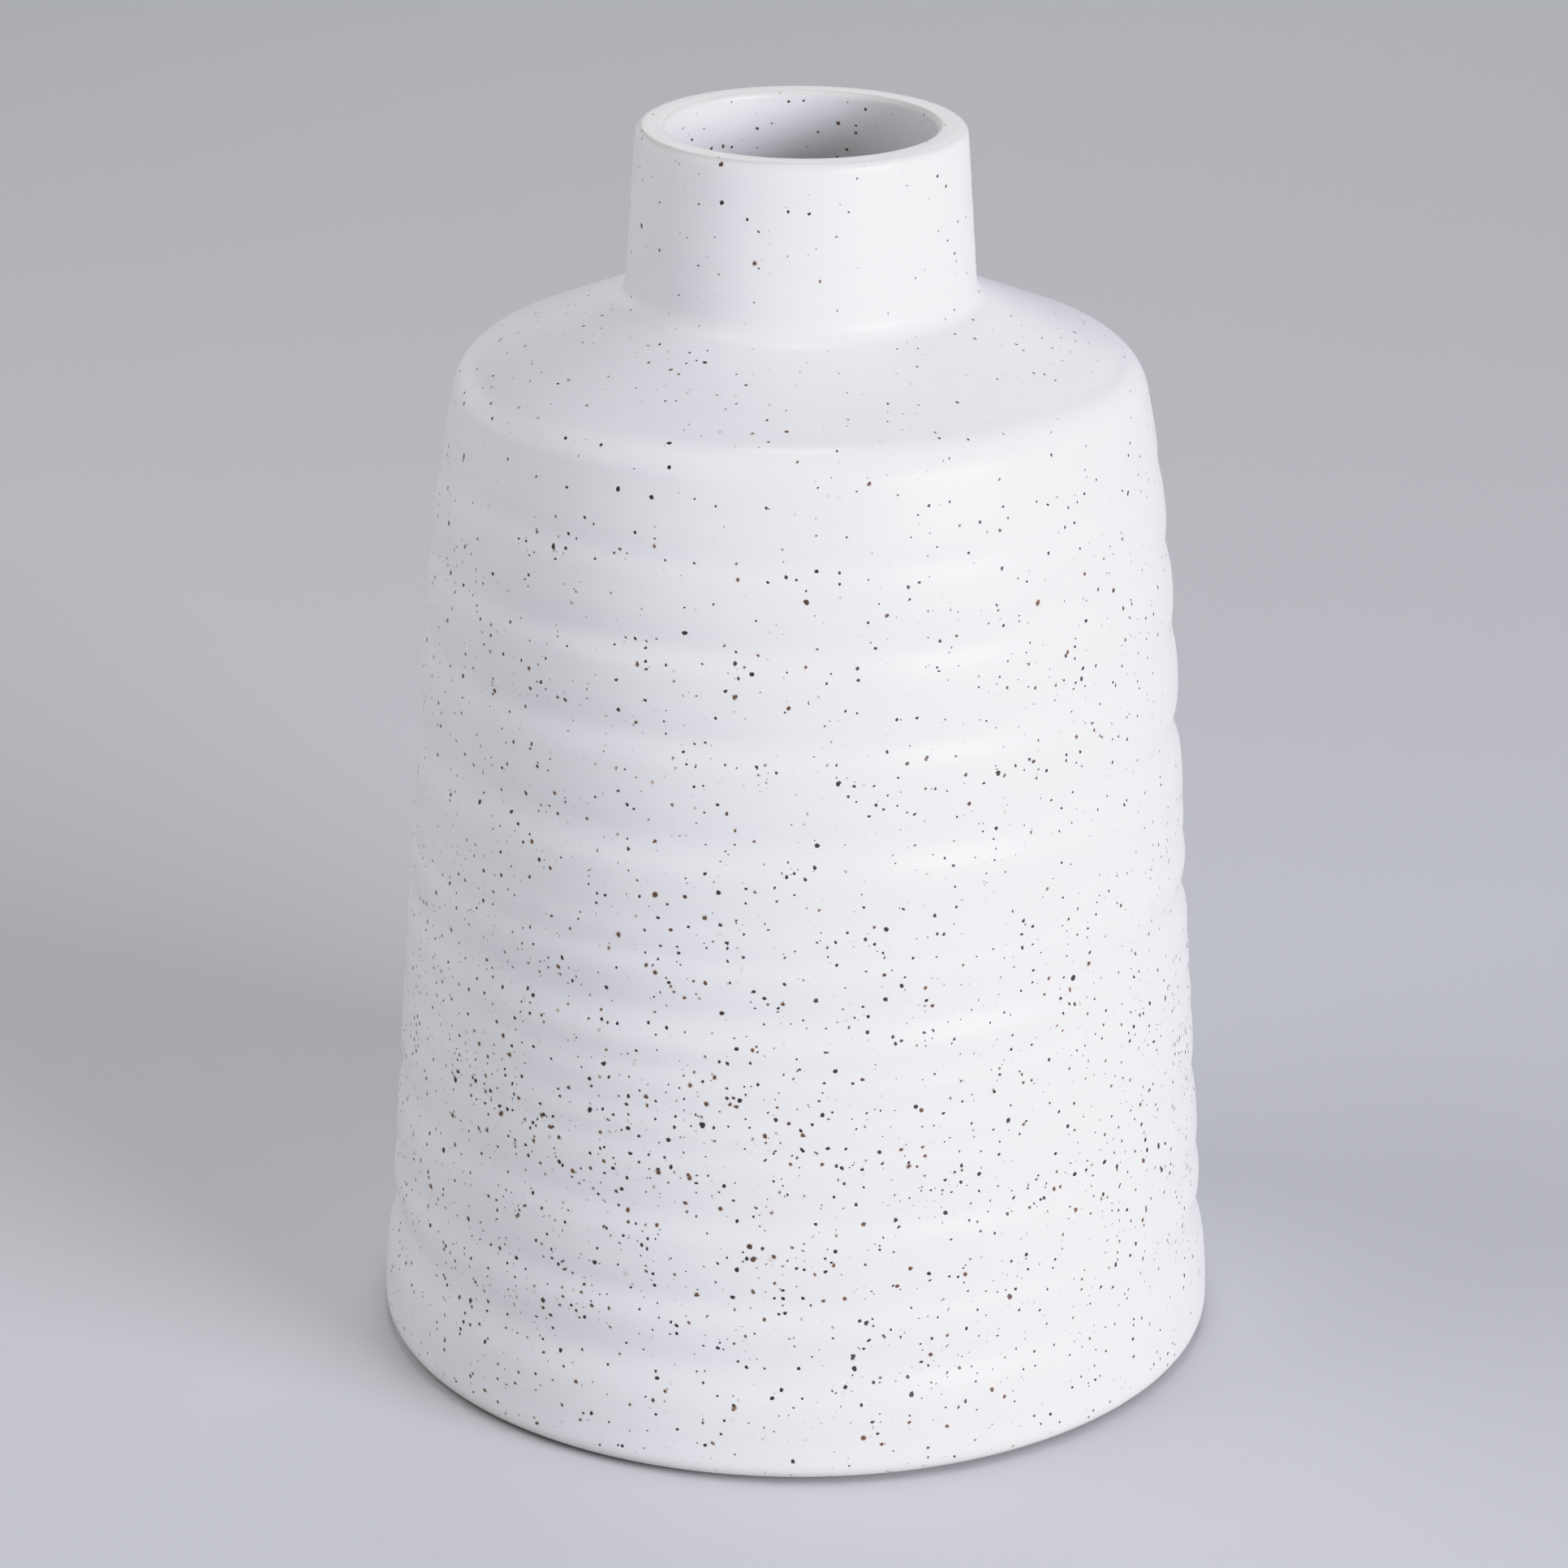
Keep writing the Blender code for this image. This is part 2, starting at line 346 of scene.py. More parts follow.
def outer_line():
    """The outside in four parts: underside to floor seam, wall, shoulder, and neck to the lip's crown."""
    recess_z = FOOT_Z + RECESS_DEPTH
    heights = np.arange(FOOT_Z + FOOT_EDGE_ROUND, WALL_TOP_Z + 1e-6, 0.0005)
    wall = [(float(wall_cone(z)), float(z), 0.0) for z in heights]
    under = rounded(
        [
            (0.0, recess_z, 0.0),
            (FOOT_RING_INNER, recess_z, RECESS_ROUND),
            (FOOT_RING_INNER + RECESS_ROUND / 2, FOOT_Z, RECESS_ROUND / 2),
            (wall[0][0], FOOT_Z, FOOT_EDGE_ROUND * 0.98),
            *wall,
            (float(wall_cone(WALL_TOP_Z)), WALL_TOP_Z, 0.0),
        ]
    )
    from_edge = np.abs(under[:, 1] - (FOOT_Z + FOOT_EDGE_ROUND))
    edge = int(np.argmin(from_edge + 10 * (under[:, 0] < FOOT_RING_INNER)))
    foot_side, wall_line = cut_at_height(under[edge:], [WALL_BOTTOM_Z])
    foot = np.concatenate([under[:edge], foot_side])
    centre = ridge_centre()
    ridge = arc(centre, RIDGE_ROUND, RIDGE_LEAN, math.pi / 2 - DOME_SLOPE)
    dome_top = (NECK_ROOT_RADIUS, dome_height(NECK_ROOT_RADIUS))
    above = rounded(
        [
            (ridge[-1][0], ridge[-1][1], 0.0),
            (*dome_top, NECK_ROOT_ROUND),
            (NECK_TOP_RADIUS, LIP_Z, LIP_OUTER_ROUND),
            ((NECK_TOP_RADIUS + MOUTH_RADIUS) / 2, LIP_Z, 0.0),
        ]
    )
    meet = int(np.argmin(np.hypot(above[:, 0] - dome_top[0] - NECK_ROOT_ROUND, above[:, 1] - dome_top[1])))
    shoulder = np.concatenate([ridge, above[1 : meet + 1]])
    return foot, wall_line, shoulder, above[meet:]


def inner_line():
    """The inside from the lip's crown down the bore, under the dome, down the wall and across the floor."""
    centre = ridge_centre()
    drop = SHOULDER_THICKNESS / math.cos(DOME_SLOPE)
    corner_r = centre[0] + 0.5 * RIDGE_ROUND
    corner_z = dome_height(corner_r) - drop
    heights = np.arange(FLOOR_TOP_Z + FLOOR_CORNER_ROUND, corner_z - INNER_RIDGE_ROUND, 0.001)[::-1]
    wall = [(float(wall_cone(z)) - WALL_THICKNESS, float(z), 0.0) for z in heights]
    return rounded(
        [
            ((NECK_TOP_RADIUS + MOUTH_RADIUS) / 2, LIP_Z, 0.0),
            (MOUTH_RADIUS, LIP_Z, LIP_INNER_ROUND),
            (NECK_BORE_ROOT, dome_height(NECK_BORE_ROOT) - drop, BORE_ROUND),
            (wall[0][0] + 0.0012, dome_height(wall[0][0] + 0.0012) - drop, INNER_RIDGE_ROUND * 0.8),
            *wall,
            (wall[-1][0] + 0.0006, FLOOR_TOP_Z, FLOOR_CORNER_ROUND * 0.95),
            (0.0, FLOOR_TOP_Z, 0.0),
        ]
    )


def wall_relief(z, angles):
    """How far the outside of the wall stands out from its line, at each height and angle."""
    relief = np.zeros((len(z), len(angles)))
    height = (z - FOOT_Z)[:, None]
    for number, (place, depth) in enumerate(wall_grooves()):
        swing = 1 + GROOVE_DEPTH_SWING * wave(angles, 100 + number)
        wander = GROOVE_WANDER * wave(angles, 200 + number, 3)
        distance = z[:, None] - place - wander[None]
        half_width = GROOVE_HALF_WIDTH + GROOVE_WIDENING * depth
        relief -= GROOVE_DEPTH_GAIN * depth * swing[None] * bump_at(distance, half_width)
    rng = np.random.default_rng(7)
    fade = np.clip((height - 0.008) / 0.010, 0, 1)
    for number in range(FINE_LINES):
        place = rng.uniform(*FINE_LINE_SPAN)
        depth = rng.uniform(*FINE_LINE_DEPTH_MM) * MM * rng.choice([-1.0, 1.0])
        half_width = rng.uniform(*FINE_LINE_HALF_WIDTH_MM) * MM
        swing = 0.5 + 0.5 * wave(angles, 300 + number)
        wander = FINE_LINE_WANDER * wave(angles, 400 + number, 2)
        relief += fade * depth * swing[None] * bump_at(height - place - wander[None], half_width)
    relief += OUT_OF_ROUND * wave(angles, 5, 3)[None] * np.clip(height / 0.05, 0, 1)
    return relief


def ring_relief(along, angles, seed, pitch, depth, spiral=1.0):
    """Soft finger rings that climb in a spiral, with uneven depth."""
    turn = angles[None] / (2 * math.pi) * spiral
    drift = 0.18 * np.sin(along[:, None] / pitch * 1.7 + seed)
    rings = np.sin(2 * math.pi * (along[:, None] / pitch + drift - turn))
    swing = 0.75 + 0.25 * wave(angles, seed)[None]
    return depth * swing * rings


def length_along(line):
    return np.concatenate([[0], np.cumsum(np.linalg.norm(np.diff(line, axis=0), axis=1))])


def normals_of_line(line):
    """Unit normals of a line in the (radius, height) plane, pointing out of the clay."""
    tangent = np.gradient(line, axis=0)
    tangent /= np.linalg.norm(tangent, axis=1)[:, None]
    return np.stack([tangent[:, 1], -tangent[:, 0]], axis=1)


def glazed(line):
    """Distance past the glaze line for rings that are glazed all over."""
    return np.full(len(line), FULLY_GLAZED_MM)


class Clay:
    """The whole clay surface as rings of points, with the shader's guides for each ring."""

    def __init__(self):
        self.angles = np.linspace(0, 2 * math.pi, SEGMENTS, endpoint=False)
        self.places = {}
        lines, reliefs, thins, bares = [], [], [], []
        count = 0
        for name, line, relief, thin, bare in self.parts():
            if lines:  # the first ring of each part is the last one of the part before
                line, relief, thin, bare = line[1:], relief[1:], thin[1:], bare[1:]
            lines.append(line)
            reliefs.append(relief)
            thins.append(thin)
            bares.append(bare)
            count += len(line)
            self.places[name] = count - 1
        self.line = np.concatenate(lines)
        self.thin = np.concatenate(thins)
        self.bare = np.concatenate(bares)
        self.points = self.displaced(self.line, np.concatenate(reliefs))
        self.normals = self.surface_normals()

    def parts(self):
        """Each part's name, line, relief, thinness of glaze, and distance past the glaze line."""
        foot, wall, shoulder, neck = outer_line()
        bands = cut_at_height(wall, [FOOT_Z + cut for cut in BAND_CUTS])
        yield self.foot_part(spaced(foot, UNDERSIDE_STEP))
        for name, band in zip(("wall_lower", "wall_middle", "wall_upper"), bands):
            line = spaced(band, OUTER_STEP)
            yield name, line, wall_relief(line[:, 1], self.angles), self.crest_thinness(line), glazed(line)
        line = spaced(shoulder, OUTER_STEP)
        yield "shoulder", line, self.shoulder_relief(line), np.zeros(len(line)), glazed(line)
        line = spaced(neck, OUTER_STEP)
        yield "neck", line, self.neck_relief(line), self.lip_thinness(line), glazed(line)
        inner = inner_line()
        lip_end = int(np.argmax(inner[:, 1] < LIP_Z - 0.010))
        line = spaced(inner[: lip_end + 1], OUTER_STEP)
        yield "bore_top", line, self.lip_wave(line), self.lip_thinness(line), glazed(line)
        yield from self.inside_parts(inner[lip_end:])

    def inside_parts(self, inner):
        seams = [dome_height(NECK_ROOT_RADIUS) - 0.001, WALL_TOP_Z]
        seams += [FOOT_Z + cut for cut in reversed(BAND_CUTS)]
        seams.append(FLOOR_TOP_Z + 0.001 + FLOOR_CORNER_ROUND)
        steady = int(np.argmin(inner[:, 1] - 1e-6 * np.arange(len(inner))))
        names = ("bore", "inside_shoulder", "inside_upper", "inside_middle", "inside_lower", "inside_floor")
        start = 0.0
        for name, part in zip(names, cut_at_height(inner[: steady + 1], seams)):
            if name == "inside_floor":
                part = np.concatenate([part, inner[steady + 1 :]])
            line = spaced(part, INNER_STEP)
            along = start + length_along(line)
            start = along[-1]
            fade = np.clip(along / 0.03, 0, 1) * np.clip((line[:, 0] - 0.004) / 0.02, 0, 1)
            relief = fade[:, None] * ring_relief(along, self.angles, 21, INNER_RING_PITCH, INNER_RING_DEPTH)
            yield name, line, relief, np.full(len(line), INNER_THIN_GLAZE), glazed(line)

    def foot_part(self, line):
        along = length_along(line)
        edge = along[int(np.argmax(line[:, 0]))]
        past = (edge - along) / MM
        trim = np.sin(2 * math.pi * line[:, 0] / TRIM_LINE_PITCH) * np.clip((past - 4) / 4, 0, 1)
        fade = np.clip(line[:, 0] / 0.01, 0, 1)
        trim_swing = 0.7 + 0.3 * wave(self.angles, 31)
        relief = TRIM_LINE_DEPTH * (trim * fade)[:, None] * trim_swing[None]
        height = line[:, 1]
        wall = wall_relief(height, self.angles) * np.clip((height - FOOT_Z - 0.003) / 0.004, 0, 1)[:, None]
        outside = (line[:, 0] > FOOT_RING_INNER + 0.006)[:, None]
        thin = 0.85 * bump_at(past - 2.4, 1.5) * (line[:, 0] > FOOT_RING_INNER)
        relief = np.where(outside, wall, relief)
        past_glaze_line = np.clip(past - GLAZE_LINE_MM, FULLY_GLAZED_MM, -FULLY_GLAZED_MM)
        return "foot", line, relief, thin, past_glaze_line

    def crest_thinness(self, line):
        """Glaze is a little thinner where the wall stands proud."""
        mean = wall_relief(line[:, 1], self.angles[::24]).mean(axis=1)
        return np.clip(0.10 + mean / (3 * MM), 0, 0.2)

    def shoulder_relief(self, line):
        along = length_along(line)
        soft = ring_relief(along, self.angles, 13, 0.0093, 0.05 * MM, 1.0)
        fade = np.clip(along / 0.012, 0, 1) * np.clip((along[-1] - along) / 0.004, 0, 1)
        return fade[:, None] * soft

    def neck_relief(self, line):
        along = length_along(line)
        fade = np.clip((along - 0.002) / 0.008, 0, 1) * np.clip((along[-1] - 0.010 - along) / 0.006, 0, 1)
        rings = ring_relief(along, self.angles, 17, 0.0077, 0.035 * MM, 1.0)
        return fade[:, None] * rings + self.lip_wave(line)

    def lip_wave(self, line):
        near = bump_at(line[:, 1] - LIP_Z, 0.004)
        return LIP_WAVE * near[:, None] * (wave(self.angles, 23, 3)[None] - 1.0)

    def lip_thinness(self, line):
        """Glaze drains off the lip, and most off its two edges."""
        across = line[:, 0]
        top = bump_at(np.clip(LIP_Z - 0.0004 - line[:, 1], 0, None), 0.0012)
        inner_edge = bump_at(across - MOUTH_RADIUS - 0.0006, 0.0008)
        outer_edge = bump_at(across - NECK_TOP_RADIUS + 0.0010, 0.0006)
        return np.clip(top * (0.52 + 0.30 * inner_edge + 0.10 * outer_edge), 0, 1)

    def displaced(self, line, relief):
        normal = normals_of_line(line)
        radius = line[:, 0:1] + relief * normal[:, 0:1]
        height = line[:, 1:2] + relief * normal[:, 1:2]
        x = radius * np.cos(self.angles)
        y = radius * np.sin(self.angles)
        points = np.stack([x, y, height + 0 * radius], axis=2)
        points[0] = points[0].mean(axis=0)
        points[-1] = points[-1].mean(axis=0)
        return points

    def surface_normals(self):
        points = self.points
        step = np.linalg.norm(np.diff(points, axis=0), axis=2).mean(axis=1)
        slope = np.diff(points, axis=0) / step[:, None, None]
        up = np.empty_like(points)
        up[0], up[-1] = slope[0], slope[-1]
        low, high = step[:-1, None, None], step[1:, None, None]
        up[1:-1] = (slope[:-1] * high + slope[1:] * low) / (low + high)
        around = np.roll(points, -1, axis=1) - np.roll(points, 1, axis=1)
        normals = np.cross(around, up)
        normals[0] = (0, 0, -1)
        normals[-1] = (0, 0, 1)
        return normals / np.maximum(np.linalg.norm(normals, axis=2), 1e-12)[:, :, None]


def mesh_object(name, points, faces, material):
    mesh = bpy.data.meshes.new(name)
    mesh.from_pydata(points, [], faces)
    mesh.polygons.foreach_set("use_smooth", [True] * len(mesh.polygons))
    mesh.materials.append(material)
    obj = bpy.data.objects.new(name, mesh)
    bpy.context.scene.collection.objects.link(obj)
    return obj


def set_attribute(mesh, name, values):
    layer = mesh.attributes.new(name, "FLOAT", "POINT")
    layer.data.foreach_set("value", np.asarray(values, np.float32))


def clay_piece(name, clay, outside, inside, material):
    """A closed piece from two runs of rings, each (first, last): outside going up, inside coming down."""
    rings = list(range(outside[0], outside[1] + 1)) + list(range(inside[0], inside[1] + 1))
    joint_after = outside[1] - outside[0]
    top_joint = inside[0] > outside[1] + 1
    last_ring = len(clay.points) - 1
    starts, count = [], 0
    points, thin, bare = [], [], []
    for ring in rings:
        single = ring in (0, last_ring)
        starts.append((count, single))
        ring_points = clay.points[ring][:1] if single else clay.points[ring]
        points.append(ring_points)
        thin += [clay.thin[ring]] * len(ring_points)
        bare += [clay.bare[ring]] * len(ring_points)
        count += len(ring_points)
    faces, corner_normals, joint_faces = [], [], []
    strips = [(i, i + 1) for i in range(len(rings) - 1)]
    if rings[0] != 0:
        strips.append((len(rings) - 1, 0))
    for low, high in strips:
        joint = (low == joint_after and top_joint) or high == 0
        (a, a_single), (b, b_single) = starts[low], starts[high]
        a_normals, b_normals = clay.normals[rings[low]], clay.normals[rings[high]]
        for j in range(SEGMENTS):
            k = (j + 1) % SEGMENTS
            if a_single:
                faces.append((a, b + k, b + j))
                corner_normals += [a_normals[j], b_normals[k], b_normals[j]]
            elif b_single:
                faces.append((a + j, a + k, b))
                corner_normals += [a_normals[j], a_normals[k], b_normals[j]]
            else:
                faces.append((a + j, a + k, b + k, b + j))
                if joint:
                    face_up = (0.0, 0.0, -1.0 if high == 0 else 1.0)
                    corner_normals += [face_up] * 4
                else:
                    corner_normals += [a_normals[j], a_normals[k], b_normals[k], b_normals[j]]
            joint_faces.append(joint)
    obj = mesh_object(name, np.concatenate(points), faces, material)
    mesh = obj.data
    set_attribute(mesh, "thin_glaze", thin)
    set_attribute(mesh, "past_glaze_line", bare)
    mark_joint_edges(mesh, joint_faces)
    mesh.normals_split_custom_set(np.array(corner_normals))
    return obj


def mark_joint_edges(mesh, joint_faces):
    """Makes the edges between the outer skin and a joint's flat face sharp."""
    loop_edges = np.empty(len(mesh.loops), np.int32)
    mesh.loops.foreach_get("edge_index", loop_edges)
    sizes = np.empty(len(mesh.polygons), np.int32)
    mesh.polygons.foreach_get("loop_total", sizes)
    on_joint = np.repeat(np.array(joint_faces), sizes)
    joint_uses = np.bincount(loop_edges[on_joint], minlength=len(mesh.edges))
    skin_uses = np.bincount(loop_edges[~on_joint], minlength=len(mesh.edges))
    sharp = mesh.attributes.new("sharp_edge", "BOOLEAN", "EDGE")
    sharp.data.foreach_set("value", (joint_uses > 0) & (skin_uses > 0))


def add(tree, kind, inputs=None, **settings):
    """A node with its settings and inputs; an input is a value or another node's output."""
    node = tree.nodes.new(kind)
    for key, value in settings.items():
        setattr(node, key, value)
    for key, value in (inputs or {}).items():
        if isinstance(value, bpy.types.NodeSocket):
            tree.links.new(value, node.inputs[key])
        else:
            node.inputs[key].default_value = value
    return node


def calc(tree, operation, *values, clamp=False):
    node = add(tree, "ShaderNodeMath", dict(enumerate(values)), operation=operation, use_clamp=clamp)
    return node.outputs[0]


def blend(tree, share, first, second, mode="MIX"):
    inputs = {0: share, 6: first, 7: second}
    return add(tree, "ShaderNodeMix", inputs, data_type="RGBA", blend_type=mode).outputs[2]


def ease(tree, value, low, high, top=1.0):
    """0 at low, top at high, with a soft start and end."""
    inputs = {"Value": value, "From Min": low, "From Max": high, "To Min": 0.0, "To Max": top}
    return add(tree, "ShaderNodeMapRange", inputs, interpolation_type="SMOOTHSTEP").outputs[0]


def noise(tree, coords, size_mm, detail=2.0, rough=0.5):
    inputs = {"Vector": coords, "Scale": 1.0 / size_mm, "Detail": detail, "Roughness": rough}
    return add(tree, "ShaderNodeTexNoise", inputs)


def new_material(name):
    material = bpy.data.materials.new(name)
    material.use_nodes = True
    tree = material.node_tree
    return material, tree, tree.nodes["Principled BSDF"]


def millimetres(tree):
    place = add(tree, "ShaderNodeTexCoord").outputs["Object"]
    inputs = {0: place, "Scale": 1000.0}
    return add(tree, "ShaderNodeVectorMath", inputs, operation="SCALE").outputs[0]


def moved(tree, coords, offset):
    """The coordinates with an offset added, which is a value or another node's output."""
    return add(tree, "ShaderNodeVectorMath", {0: coords, 1: offset}, operation="ADD").outputs[0]


def stretched(tree, coords, scale):
    return add(tree, "ShaderNodeVectorMath", {0: coords, 1: scale}, operation="MULTIPLY").outputs[0]


def speck_density(tree, place):
    """Share of full density at a place, from its height and from slow patches."""
    height = add(tree, "ShaderNodeSeparateXYZ", {0: place}).outputs[2]
    scaled = calc(tree, "DIVIDE", height, LIP_Z * 1000.0, clamp=True)
    ramp = add(tree, "ShaderNodeValToRGB", {0: scaled})
    stops = ramp.color_ramp.elements
    while len(stops) > 1:
        stops.remove(stops[-1])
    for number, (level, share) in enumerate(SPECK_DENSITY):
        stop = stops[0] if number == 0 else stops.new(level / LIP_Z)
        stop.position = level / LIP_Z
        stop.color = (share, share, share, 1.0)
    patches = noise(tree, place, 26.0, 1.0).outputs[0]
    clusters = noise(tree, place, 7.0, 1.0).outputs[0]
    patches = ease(tree, patches, 0.25, 0.75, 0.8)
    clusters = ease(tree, clusters, 0.30, 0.70, 1.0)
    uneven = calc(tree, "MULTIPLY", patches, clusters)
    uneven = calc(tree, "ADD", uneven, 0.62)
    return calc(tree, "MULTIPLY", ramp.outputs[0], uneven)


def speck_layer(tree, coords, layer):
    """Cover, rust halo and tone of one layer of specks."""
    _name, cell, smallest, largest, soft, share, cover, offset = layer
    shifted = moved(tree, coords, (offset, offset * 0.7, offset * 1.3))
    cells = add(tree, "ShaderNodeTexVoronoi", {"Vector": shifted, "Scale": 1.0 / cell, "Randomness": 1.0})
    place = moved(tree, cells.outputs["Position"], (-offset, -offset * 0.7, -offset * 1.3))
    draw = add(tree, "ShaderNodeSeparateColor", {0: cells.outputs["Color"]}).outputs
    distance = calc(tree, "MULTIPLY", cells.outputs["Distance"], cell)
    density = speck_density(tree, place)
    held = calc(tree, "LESS_THAN", draw[0], calc(tree, "MULTIPLY", density, share))
    size = calc(tree, "POWER", draw[1], 1.3)
    radius = calc(tree, "MULTIPLY_ADD", size, largest - smallest, smallest)
    radius = calc(tree, "MULTIPLY", radius, calc(tree, "MULTIPLY_ADD", density, 0.30, 0.72))
    inputs = {
        "Value": distance,
        "From Min": calc(tree, "ADD", radius, soft),
        "From Max": calc(tree, "SUBTRACT", radius, soft),
        "To Max": cover,
    }
    core = add(tree, "ShaderNodeMapRange", inputs, interpolation_type="SMOOTHSTEP").outputs[0]
    halo_inputs = {
        "Value": distance,
        "From Min": calc(tree, "MULTIPLY_ADD", radius, 1.5, soft * 2),
        "From Max": calc(tree, "MULTIPLY", radius, 0.8),
        "To Max": ease(tree, draw[2], 0.55, 0.95),
    }
    halo = add(tree, "ShaderNodeMapRange", halo_inputs, interpolation_type="SMOOTHSTEP").outputs[0]
    return calc(tree, "MULTIPLY", core, held), calc(tree, "MULTIPLY", halo, held), draw[2]


def speck_coords(tree, coords):
    """Coordinates bent a little, so that specks aren't round."""
    bent = coords
    for size_mm, detail, reach_mm in SPECK_BENDS:
        sway = noise(tree, coords, size_mm, detail).outputs["Color"]
        centred = moved(tree, sway, (-0.5, -0.5, -0.5))
        bent = moved(tree, bent, stretched(tree, centred, (reach_mm, reach_mm, reach_mm)))
    return bent


def glaze_tone(tree, coords, thin):
    """White that drifts a little cool and warm, greyer where the glaze is thin, and with painted shade,
    greyer and bluer, where the surface faces up.
    """
    drift = noise(tree, coords, 34.0, 2.0).outputs[0]
    clouds = noise(tree, coords, 6.0, 3.0).outputs[0]
    bands = noise(tree, stretched(tree, coords, (0.12, 0.12, 1.0)), 5.0, 2.0).outputs[0]
    tone = blend(tree, ease(tree, drift, 0.35, 0.70, 0.55), GLAZE_WHITE, GLAZE_COOL)
    tone = blend(tree, ease(tree, bands, 0.45, 0.75, 0.45), tone, GLAZE_WARM)
    normal = add(tree, "ShaderNodeNewGeometry").outputs["Normal"]
    facing_up = add(tree, "ShaderNodeSeparateXYZ", {0: normal}).outputs[2]
    # Painted shade: surfaces that face up are blended towards a greyer, bluer white.
    tone = blend(tree, ease(tree, facing_up, 0.62, 0.93, 0.9), tone, GLAZE_UPWARD_PAINTED_SHADE)
    shade = calc(tree, "MULTIPLY_ADD", clouds, 0.05, 0.975)
    tone = blend(tree, 1.0, tone, grey(tree, shade), "MULTIPLY")
    uneven = calc(tree, "MULTIPLY", thin, calc(tree, "MULTIPLY_ADD", clouds, 0.8, 0.6), clamp=True)
    return blend(tree, uneven, tone, GLAZE_THIN)


def grey(tree, value):
    return add(tree, "ShaderNodeCombineColor", {0: value, 1: value, 2: value}).outputs[0]


def glaze_material(name, bare_foot=False):
    """Satin white glaze with iron specks; bare_foot adds the unglazed clay under the vase."""
    material, tree, shader = new_material(name)
    coords = millimetres(tree)
    thin = add(tree, "ShaderNodeAttribute", attribute_name="thin_glaze").outputs["Fac"]
    colour = glaze_tone(tree, coords, thin)
    bent = speck_coords(tree, coords)
    cover = None
    for layer in SPECK_LAYERS:
        core, halo, tone = speck_layer(tree, bent, layer)
        speck = blend(tree, ease(tree, tone, 0.35, 1.0), SPECK_BLACK, SPECK_BROWN)
        if layer[0] in ("large", "medium"):
            colour = blend(tree, calc(tree, "MULTIPLY", halo, 0.75), colour, RUST_HALO)
        colour = blend(tree, core, colour, speck)
        cover = core if cover is None else calc(tree, "MAXIMUM", cover, core)
    peel = noise(tree, coords, 1.3, 2.0).outputs[0]
    sway = noise(tree, stretched(tree, coords, (0.25, 0.25, 1.0)), 7.0, 2.0).outputs[0]
    height = calc(tree, "MULTIPLY_ADD", sway, 0.045, calc(tree, "MULTIPLY", peel, 0.010))
    height = calc(tree, "MULTIPLY_ADD", cover, -0.035, height)
    patches = noise(tree, coords, 9.0, 3.0).outputs[0]
    roughness = calc(tree, "MULTIPLY_ADD", patches, 0.10, 0.27)
    roughness = calc(tree, "MULTIPLY_ADD", cover, 0.14, roughness)
    if bare_foot:
        colour, roughness, height = add_bare_clay(tree, coords, colour, roughness, height)
    bump = add(tree, "ShaderNodeBump", {"Height": height, "Distance": MM, "Strength": 1.0})
    tree.links.new(colour, shader.inputs["Base Color"])
    tree.links.new(roughness, shader.inputs["Roughness"])
    tree.links.new(bump.outputs[0], shader.inputs["Normal"])
    shader.inputs["IOR"].default_value = GLAZE_IOR
    return material


def add_bare_clay(tree, coords, colour, roughness, height):
    """Sandy buff clay past a wavy glaze line."""
    past = add(tree, "ShaderNodeAttribute", attribute_name="past_glaze_line").outputs["Fac"]
    wander = calc(tree, "MULTIPLY_ADD", noise(tree, coords, 9.0, 3.0).outputs[0], 2.4, -1.2)
    bare = ease(tree, calc(tree, "ADD", past, wander), -0.15, 0.25)
    grain = noise(tree, coords, 0.45, 3.0, 0.65).outputs[0]
    stain = noise(tree, coords, 17.0, 3.0).outputs[0]
    clay = blend(tree, ease(tree, stain, 0.3, 0.75, 0.6), CLAY_BUFF, CLAY_DARK)
    clay = blend(tree, ease(tree, grain, 0.55, 0.72, 0.7), clay, CLAY_DARK)
    toast = ease(tree, calc(tree, "ADD", past, wander), 2.2, 0.3, 0.55)
    clay = blend(tree, toast, clay, SPECK_BROWN)
    colour = blend(tree, bare, colour, clay)
    roughness = calc(tree, "MULTIPLY_ADD", bare, 0.38, roughness, clamp=True)
    rough_height = calc(tree, "MULTIPLY", grain, 0.09)
    height = calc(tree, "ADD", height, calc(tree, "MULTIPLY", bare, rough_height))
    return colour, roughness, height


def felt_material():
    material, tree, shader = new_material("pressed_felt")
    coords = millimetres(tree)
    fibres = noise(tree, stretched(tree, coords, (1.0, 1.0, 2.5)), 0.35, 4.0, 0.7).outputs[0]
    lumps = noise(tree, coords, 2.2, 2.0).outputs[0]
    lumpy = calc(tree, "MULTIPLY_ADD", lumps, 0.8, 0.5)
    mix = calc(tree, "MULTIPLY", ease(tree, fibres, 0.35, 0.7), lumpy, clamp=True)
    colour = blend(tree, mix, FELT_DARK, FELT_LIGHT)
    height = calc(tree, "MULTIPLY_ADD", lumps, 0.12, calc(tree, "MULTIPLY", fibres, 0.16))
    bump = add(tree, "ShaderNodeBump", {"Height": height, "Distance": MM, "Strength": 1.0})
    tree.links.new(colour, shader.inputs["Base Color"])
    tree.links.new(bump.outputs[0], shader.inputs["Normal"])
    tree.links.new(calc(tree, "MULTIPLY_ADD", fibres, 0.12, 0.84), shader.inputs["Roughness"])
    shader.inputs["Sheen Weight"].default_value = 0.25
    shader.inputs["Sheen Roughness"].default_value = 0.6
    return material


